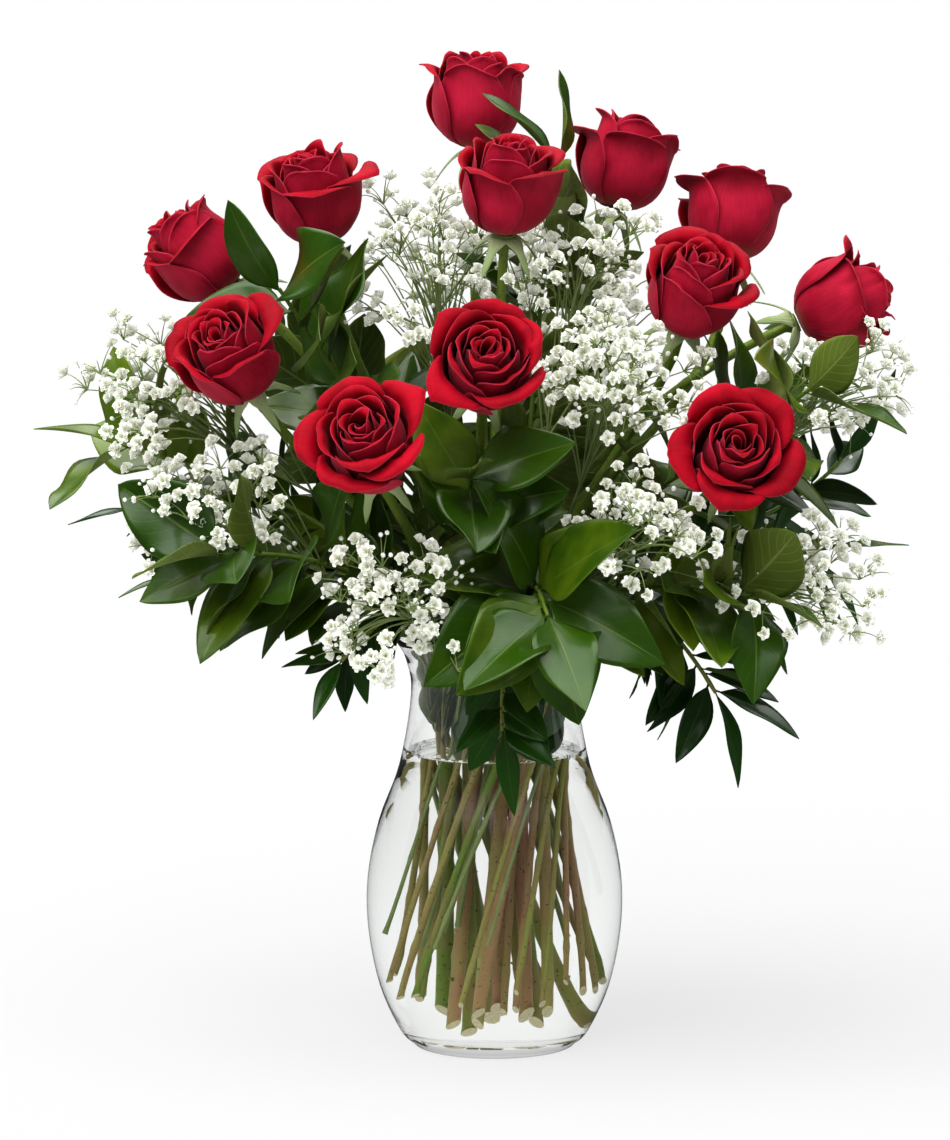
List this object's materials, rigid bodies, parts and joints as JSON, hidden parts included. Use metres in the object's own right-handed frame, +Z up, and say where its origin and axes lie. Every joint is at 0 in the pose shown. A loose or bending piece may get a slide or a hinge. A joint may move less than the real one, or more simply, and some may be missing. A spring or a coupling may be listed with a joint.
{
  "type": "roses in a vase",
  "caption": "Upright arrangement of red roses with broad and slender leafy greens and white gypsophila, in a clear round-bellied glass vase of water.",
  "frame": {"origin": "centre of the vase's foot, on the surface that the vase stands on", "axes": "+Z up, +X to the right as seen from the front, -Y towards the viewer"},
  "size_m": [0.4824, 0.3822, 0.5572],
  "materials": {
    "glass": "polished",
    "water": "gloss",
    "petal_red": "matte",
    "stem_green": "satin",
    "broad_leaf": "satin",
    "slender_leaf": "satin",
    "floret_white": "matte"
  },
  "bodies": {
    "root": {"vase": "glass", "water": "water", "rose_bloom_01": "petal_red", "rose_bloom_02": "petal_red", "rose_bloom_03": "petal_red", "rose_bloom_04": "petal_red", "rose_bloom_05": "petal_red", "rose_bloom_06": "petal_red", "rose_bloom_07": "petal_red", "rose_bloom_08": "petal_red", "rose_bloom_09": "petal_red", "rose_bloom_10": "petal_red", "rose_bloom_11": "petal_red", "rose_bloom_12": "petal_red", "rose_stem_01": "stem_green", "rose_stem_02": "stem_green", "rose_stem_03": "stem_green", "rose_stem_04": "stem_green", "rose_stem_05": "stem_green", "rose_stem_06": "stem_green", "rose_stem_07": "stem_green", "rose_stem_08": "stem_green", "rose_stem_09": "stem_green", "rose_stem_10": "stem_green", "rose_stem_11": "stem_green", "rose_stem_12": "stem_green", "broad_green_01": "broad_leaf", "broad_green_02": "broad_leaf", "broad_green_03": "broad_leaf", "broad_green_04": "broad_leaf", "broad_green_05": "broad_leaf", "broad_green_06": "broad_leaf", "broad_green_07": "broad_leaf", "broad_green_08": "broad_leaf", "broad_green_09": "broad_leaf", "broad_green_10": "broad_leaf", "slender_green_01": "slender_leaf", "slender_green_02": "slender_leaf", "slender_green_03": "slender_leaf", "slender_green_04": "slender_leaf", "slender_green_05": "slender_leaf", "slender_green_06": "slender_leaf", "slender_green_07": "slender_leaf", "slender_green_08": "slender_leaf", "slender_green_09": "slender_leaf", "gypsophila_01": "floret_white", "gypsophila_02": "floret_white", "gypsophila_03": "floret_white", "gypsophila_04": "floret_white", "gypsophila_05": "floret_white", "gypsophila_06": "floret_white", "gypsophila_07": "floret_white", "gypsophila_08": "floret_white", "gypsophila_09": "floret_white", "gypsophila_10": "floret_white"}
  },
  "joints": []
}
